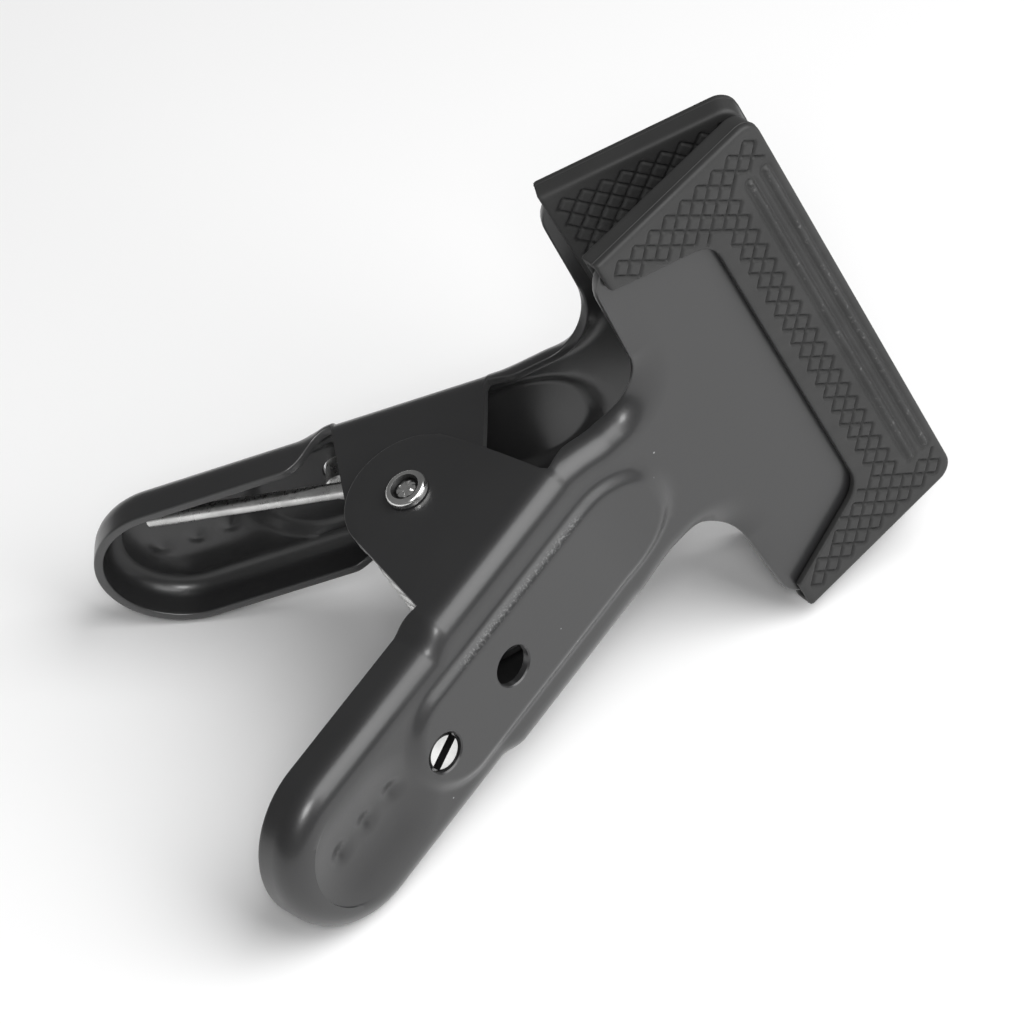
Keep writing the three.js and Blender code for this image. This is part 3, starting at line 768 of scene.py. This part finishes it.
def screw_piece(name, s, y, mirror):
    top = RAISE - SCREW_RECESS
    edge = SCREW_CHAMFER
    profile = [(0, -SCREW_LENGTH), (SCREW_RADIUS - edge, -SCREW_LENGTH), (SCREW_RADIUS, edge - SCREW_LENGTH),
               (SCREW_RADIUS, -edge), (SCREW_RADIUS - edge, 0), (0, 0)]
    axis = (HANDLE_OUT[0], 0, HANDLE_OUT[1])
    piece = lathe(name, profile, axis, place(s, y, top), 96, mirror)
    handle = np.array((HANDLE_ALONG[0], 0, HANDLE_ALONG[1]))
    across = np.array((0, math.cos(SLOT_TURN), 0)) - math.sin(SLOT_TURN) * handle
    out = np.array(axis)
    along = np.cross(out, across)
    middle = np.array(place(s, y, top))
    corners = []
    for up in (-SLOT_DEPTH, SLOT_DEPTH):
        for side in (-SLOT_WIDTH / 2, SLOT_WIDTH / 2):
            for reach in (-2 * SCREW_RADIUS, 2 * SCREW_RADIUS):
                corners.append(middle + up * out + side * across + reach * along)
    faces = [(0, 1, 3, 2), (4, 6, 7, 5), (0, 4, 5, 1), (2, 3, 7, 6), (0, 2, 6, 4), (1, 5, 7, 3)]
    slot = mesh_piece("slot_cutter", corners, faces, mirror)
    weld(slot, 1e-7)
    cut(piece, [slot])
    if mirror:
        middle[0] *= -1
        out[0] *= -1

    def in_slot(p):
        below = -(p - middle) @ out
        from_axis = np.linalg.norm(np.cross(p - middle, out))
        return 0.05 < below < SLOT_DEPTH + 0.1 and from_axis < SCREW_RADIUS - 0.1

    # Painted shade: the faces inside the slot get the dark material.
    paint_recess_shade(piece, in_slot)
    shade(piece, 30)
    return piece


# ------------------------------------------------------------------ materials


class Nodes:
    """A small helper for building a material's node tree."""

    def __init__(self, name):
        self.material = bpy.data.materials.new(name)
        self.material.use_nodes = True
        self.tree = self.material.node_tree
        self.shader = self.tree.nodes["Principled BSDF"]
        self.where = self.add("ShaderNodeTexCoord").outputs["Object"]

    def add(self, kind, **values):
        node = self.tree.nodes.new(kind)
        for key, value in values.items():
            setattr(node, key, value)
        return node

    def link(self, source, target):
        self.tree.links.new(source, target)

    def noise(self, scale, detail=3, stretch=(1, 1, 1)):
        mapping = self.add("ShaderNodeMapping")
        mapping.inputs["Scale"].default_value = stretch
        self.link(self.where, mapping.inputs["Vector"])
        noise = self.add("ShaderNodeTexNoise")
        noise.inputs["Scale"].default_value = scale
        noise.inputs["Detail"].default_value = detail
        self.link(mapping.outputs[0], noise.inputs["Vector"])
        return noise.outputs["Fac"]

    def spread(self, value, low, high, to_low=0, to_high=1):
        node = self.add("ShaderNodeMapRange")
        for i, number in enumerate((low, high, to_low, to_high), start=1):
            node.inputs[i].default_value = number
        self.link(value, node.inputs[0])
        return node.outputs[0]

    def product(self, first, second):
        node = self.add("ShaderNodeMath", operation="MULTIPLY")
        self.link(first, node.inputs[0])
        self.link(second, node.inputs[1])
        return node.outputs[0]

    def attribute(self, name):
        return self.add("ShaderNodeAttribute", attribute_name=name).outputs["Fac"]

    def colour(self, factor, first, second):
        node = self.add("ShaderNodeMix", data_type="RGBA")
        node.inputs["Factor"].default_value = 0
        self.link(factor, node.inputs["Factor"])
        for socket, value in ((6, first), (7, second)):
            if isinstance(value, tuple):
                node.inputs[socket].default_value = (*value, 1)
            else:
                self.link(value, node.inputs[socket])
        return node.outputs[2]

    def bump(self, height, distance, strength=1, below=None):
        node = self.add("ShaderNodeBump")
        node.inputs["Strength"].default_value = strength
        node.inputs["Distance"].default_value = distance
        self.link(height, node.inputs["Height"])
        if below is not None:
            self.link(below, node.inputs["Normal"])
        return node.outputs["Normal"]


def paint():
    """Satin black baked paint: faint orange peel, specks of dust, worn cut edges and one rubbed flank."""
    n = Nodes("satin_black_paint")
    patches = n.noise(55, 4)
    specks = n.add("ShaderNodeTexVoronoi")
    specks.inputs["Scale"].default_value = 420
    n.link(n.where, specks.inputs["Vector"])
    dust = n.spread(specks.outputs["Distance"], 0.05, 0.075, 1, 0)
    sparse = n.spread(n.noise(140, 2), 0.64, 0.68)
    black = n.colour(patches, (0.016, 0.016, 0.0165), (0.022, 0.022, 0.0225))
    edged = n.colour(n.spread(n.attribute("cut_edge"), 0.2, 1, 0, 0.2), black, (0.12, 0.12, 0.12))
    rubbed = n.product(n.attribute("scuff"), n.spread(n.noise(2600, 4), 0.5, 0.62))
    scuffed_paint = n.colour(rubbed, edged, (0.1, 0.1, 0.1))
    dusty_paint = n.colour(n.product(dust, sparse), scuffed_paint, (0.3, 0.3, 0.3))
    n.link(dusty_paint, n.shader.inputs["Base Color"])
    n.link(n.spread(patches, 0.3, 0.7, 0.31, 0.39), n.shader.inputs["Roughness"])
    peel = n.bump(n.noise(1500, 2), 0.00002, 0.5)
    n.link(n.bump(dust, 0.00004, 0.15, peel), n.shader.inputs["Normal"])
    n.shader.inputs["Specular IOR Level"].default_value = 0.65
    n.shader.inputs["Coat Weight"].default_value = 0.25
    n.shader.inputs["Coat Roughness"].default_value = 0.18
    return n.material


def rubber():
    """Moulded black rubber: fine grain, painted shade in the grooves, scuffed ribs."""
    n = Nodes("moulded_rubber")
    patches = n.noise(70, 4)
    scuffs = n.noise(260, 5, (1, 0.35, 1))
    base = n.colour(patches, (0.02, 0.02, 0.02), (0.03, 0.03, 0.0295))
    # Painted shade: the grooves get darker with their depth.
    grooved = n.colour(n.spread(n.attribute("groove"), 0, 1, 0, 0.75), base, (0.004, 0.004, 0.004))
    rubbed = n.product(n.attribute("rib"), n.spread(n.noise(1100, 4), 0.6, 0.68))
    n.link(n.colour(rubbed, grooved, (0.09, 0.09, 0.09)), n.shader.inputs["Base Color"])
    n.link(n.spread(scuffs, 0.3, 0.7, 0.5, 0.66), n.shader.inputs["Roughness"])
    grain = n.bump(n.noise(2600, 3), 0.00003, 0.5)
    n.link(n.bump(patches, 0.00015, 0.15, grain), n.shader.inputs["Normal"])
    return n.material


def metal(name, colour, rough, lines, stretch):
    """Bright metal with drawn or turned lines, stains and small changes of shine."""
    n = Nodes(name)
    streaks = n.noise(lines, 3, stretch)
    stains = n.noise(180, 4)
    dark = tuple(c * 0.72 for c in colour)
    n.link(n.colour(n.spread(stains, 0.35, 0.7), colour, dark), n.shader.inputs["Base Color"])
    n.link(n.spread(streaks, 0.3, 0.7, rough - 0.07, rough + 0.1), n.shader.inputs["Roughness"])
    n.link(n.bump(streaks, 0.00002, 0.35), n.shader.inputs["Normal"])
    n.shader.inputs["Metallic"].default_value = 1
    return n.material


# ------------------------------------------------------------------ pieces


def finish_piece(piece, material, body, slot, *nodes):
    """Gives a piece its main material, hides the CAD nodes it replaces and attaches it to the body it rides.
    The slot argument is not used.
    """
    if piece.data.materials:
        piece.data.materials[0] = material
    else:
        piece.data.materials.append(material)
    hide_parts(*nodes)
    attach(piece, body)


# A dark metal used only as painted shade inside the rivet's crimp and the screw slots.
painted_shade_metal = metal("painted_recess_shade", (0.05, 0.05, 0.05), 0.55, 900, (1, 1, 1))
black_paint = paint()
black_rubber = rubber()
plated = metal("nickel_plate", (0.86, 0.86, 0.85), 0.2, 900, (1, 1, 1))
drawn = metal("drawn_wire", (0.74, 0.74, 0.73), 0.3, 1500, (1, 1, 0.15))
turned = metal("turned_zinc", (0.8, 0.8, 0.79), 0.3, 2200, (0.2, 1, 1))

arms = (("outer_arm", OUTER_ARM, False, OUTER), ("inner_arm", INNER_ARM, True, INNER))
for node, arm, mirror, body in arms:
    finish_piece(arm_piece(f"{node}_sheet", arm, mirror), black_paint, body, "arm_paint", node)
for node, mirror, body in (("outer_jaw_boot", False, OUTER), ("inner_jaw_boot", True, INNER)):
    finish_piece(boot_piece(f"{node}_rubber", mirror), black_rubber, body, "boot_rubber", node)
    finish_piece(parting_bead(f"{node}_parting_line", mirror), black_rubber, body, "boot_rubber", node)
finish_piece(rivet_piece(), plated, OUTER, "plated_rivet", "pivot_rivet")
finish_piece(tube_piece(), turned, OUTER, "spacer_steel", "pivot_spacer_tube")
finish_piece(wire_piece("spring_coil_wire", coil_path()), drawn, OUTER, "spring_steel", "spring_coil")
finish_piece(wire_piece("spring_leg_wire", leg_path()), drawn, INNER, "spring_steel", "spring_leg")
screws = (("outer_slotted_screw", OUTER_ARM["holes"][1], False, OUTER),
          ("inner_slotted_screw", INNER_ARM["holes"][0], True, INNER))
for node, hole, mirror, body in screws:
    finish_piece(screw_piece(f"{node}_turned", *hole, mirror), turned, body, "screw_steel", node)

# ------------------------------------------------------------------ floor, light and camera


FLOOR_HALF = 3
FLOOR_DROP = 0.0002
WORLD_LIGHT = 0.16


def pale_floor():
    half = FLOOR_HALF
    corners = [(-half, -half, 0), (half, -half, 0), (half, half, 0), (-half, half, 0)]
    mesh = bpy.data.meshes.new("floor")
    mesh.from_pydata(corners, [], [(0, 1, 2, 3)])
    floor = bpy.data.objects.new("floor", mesh)
    bpy.context.collection.objects.link(floor)
    floor.location.z = -FLOOR_DROP
    n = Nodes("pale_floor")
    n.link(n.colour(n.noise(4, 2), (0.9, 0.9, 0.9), (0.93, 0.93, 0.93)), n.shader.inputs["Base Color"])
    n.shader.inputs["Roughness"].default_value = 0.9
    mesh.materials.append(n.material)


def area_light(name, place_m, size, power):
    """A square lamp aimed at the part. Place and size are in metres, power in watts."""
    light = bpy.data.lights.new(name, "AREA")
    light.size, light.energy = size, power
    lamp = bpy.data.objects.new(name, light)
    bpy.context.collection.objects.link(lamp)
    lamp.location = place_m
    lamp.rotation_euler = (-Vector(place_m)).to_track_quat("-Z", "Y").to_euler()


def studio():
    area_light("key", (0.45, 0.5, 0.9), 1.2, 17)
    area_light("front", (0.75, -0.3, 0.8), 0.28, 4)
    world = bpy.data.worlds.new("studio")
    world.use_nodes = True
    world.node_tree.nodes["Background"].inputs[0].default_value = (1, 1, 1, 1)
    world.node_tree.nodes["Background"].inputs[1].default_value = WORLD_LIGHT
    bpy.context.scene.world = world
    bpy.context.scene.view_settings.view_transform = "Standard"


CAMERA_PLACE = (469.684, -473.039, 20.247)
CAMERA_AIM = (0.937, 1.169, 15.299)
CAMERA_ROLL = math.radians(55.471)
CAMERA_LENS = 153.1
CAMERA_SHIFT = (-0.0292, -0.0062)


def camera():
    """Looks from its place to its aim, rolled about that line. Both points are in the clamp frame."""
    lens = bpy.data.cameras.new("camera")
    lens.lens = CAMERA_LENS
    lens.shift_x, lens.shift_y = CAMERA_SHIFT
    eye = bpy.data.objects.new("camera", lens)
    bpy.context.collection.objects.link(eye)
    back = (Vector(CAMERA_PLACE) - Vector(CAMERA_AIM)).normalized()
    upright = Vector((0, 0, 1)).cross(back).normalized()
    right = Matrix.Rotation(CAMERA_ROLL, 3, back) @ upright
    turned_axes = Matrix([TURN_TO_ROW @ a for a in (right, back.cross(right), back)]).transposed()
    eye.matrix_world = Matrix.Translation(to_row([CAMERA_PLACE])[0]) @ turned_axes.to_4x4()
    bpy.context.scene.camera = eye


pale_floor()
studio()
camera()

bpy.context.view_layer.update()
